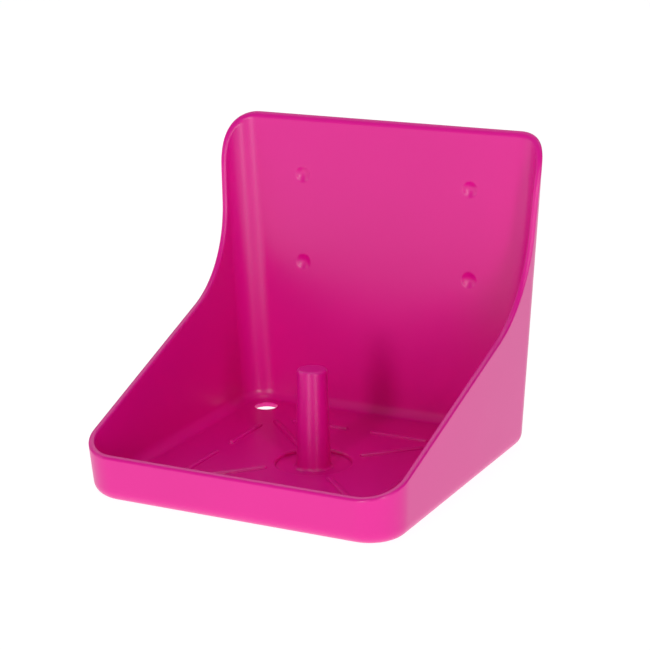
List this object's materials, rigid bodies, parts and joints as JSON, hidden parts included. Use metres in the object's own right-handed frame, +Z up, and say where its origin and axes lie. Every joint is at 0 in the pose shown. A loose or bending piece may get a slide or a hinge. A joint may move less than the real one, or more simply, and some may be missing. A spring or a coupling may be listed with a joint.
{
  "type": "wall-hung lick holder",
  "caption": "Open moulded plastic stable tray with a tall back, sloping sides, a low lip and a centre peg that a salt or mineral block drops over.",
  "frame": {"origin": "middle of the width and depth, on the underside", "axes": "+Z up, +Y towards the wall that the back is screwed to, +X to the right as seen from the front"},
  "size_m": [0.2196, 0.213, 0.1949],
  "materials": {
    "tray_plastic": "glossy magenta injection-moulded polypropylene",
    "peg_plastic": "glossy magenta injection-moulded polypropylene"
  },
  "bodies": {
    "root": {"tray": "tray_plastic", "centre_peg": "peg_plastic"}
  },
  "joints": []
}
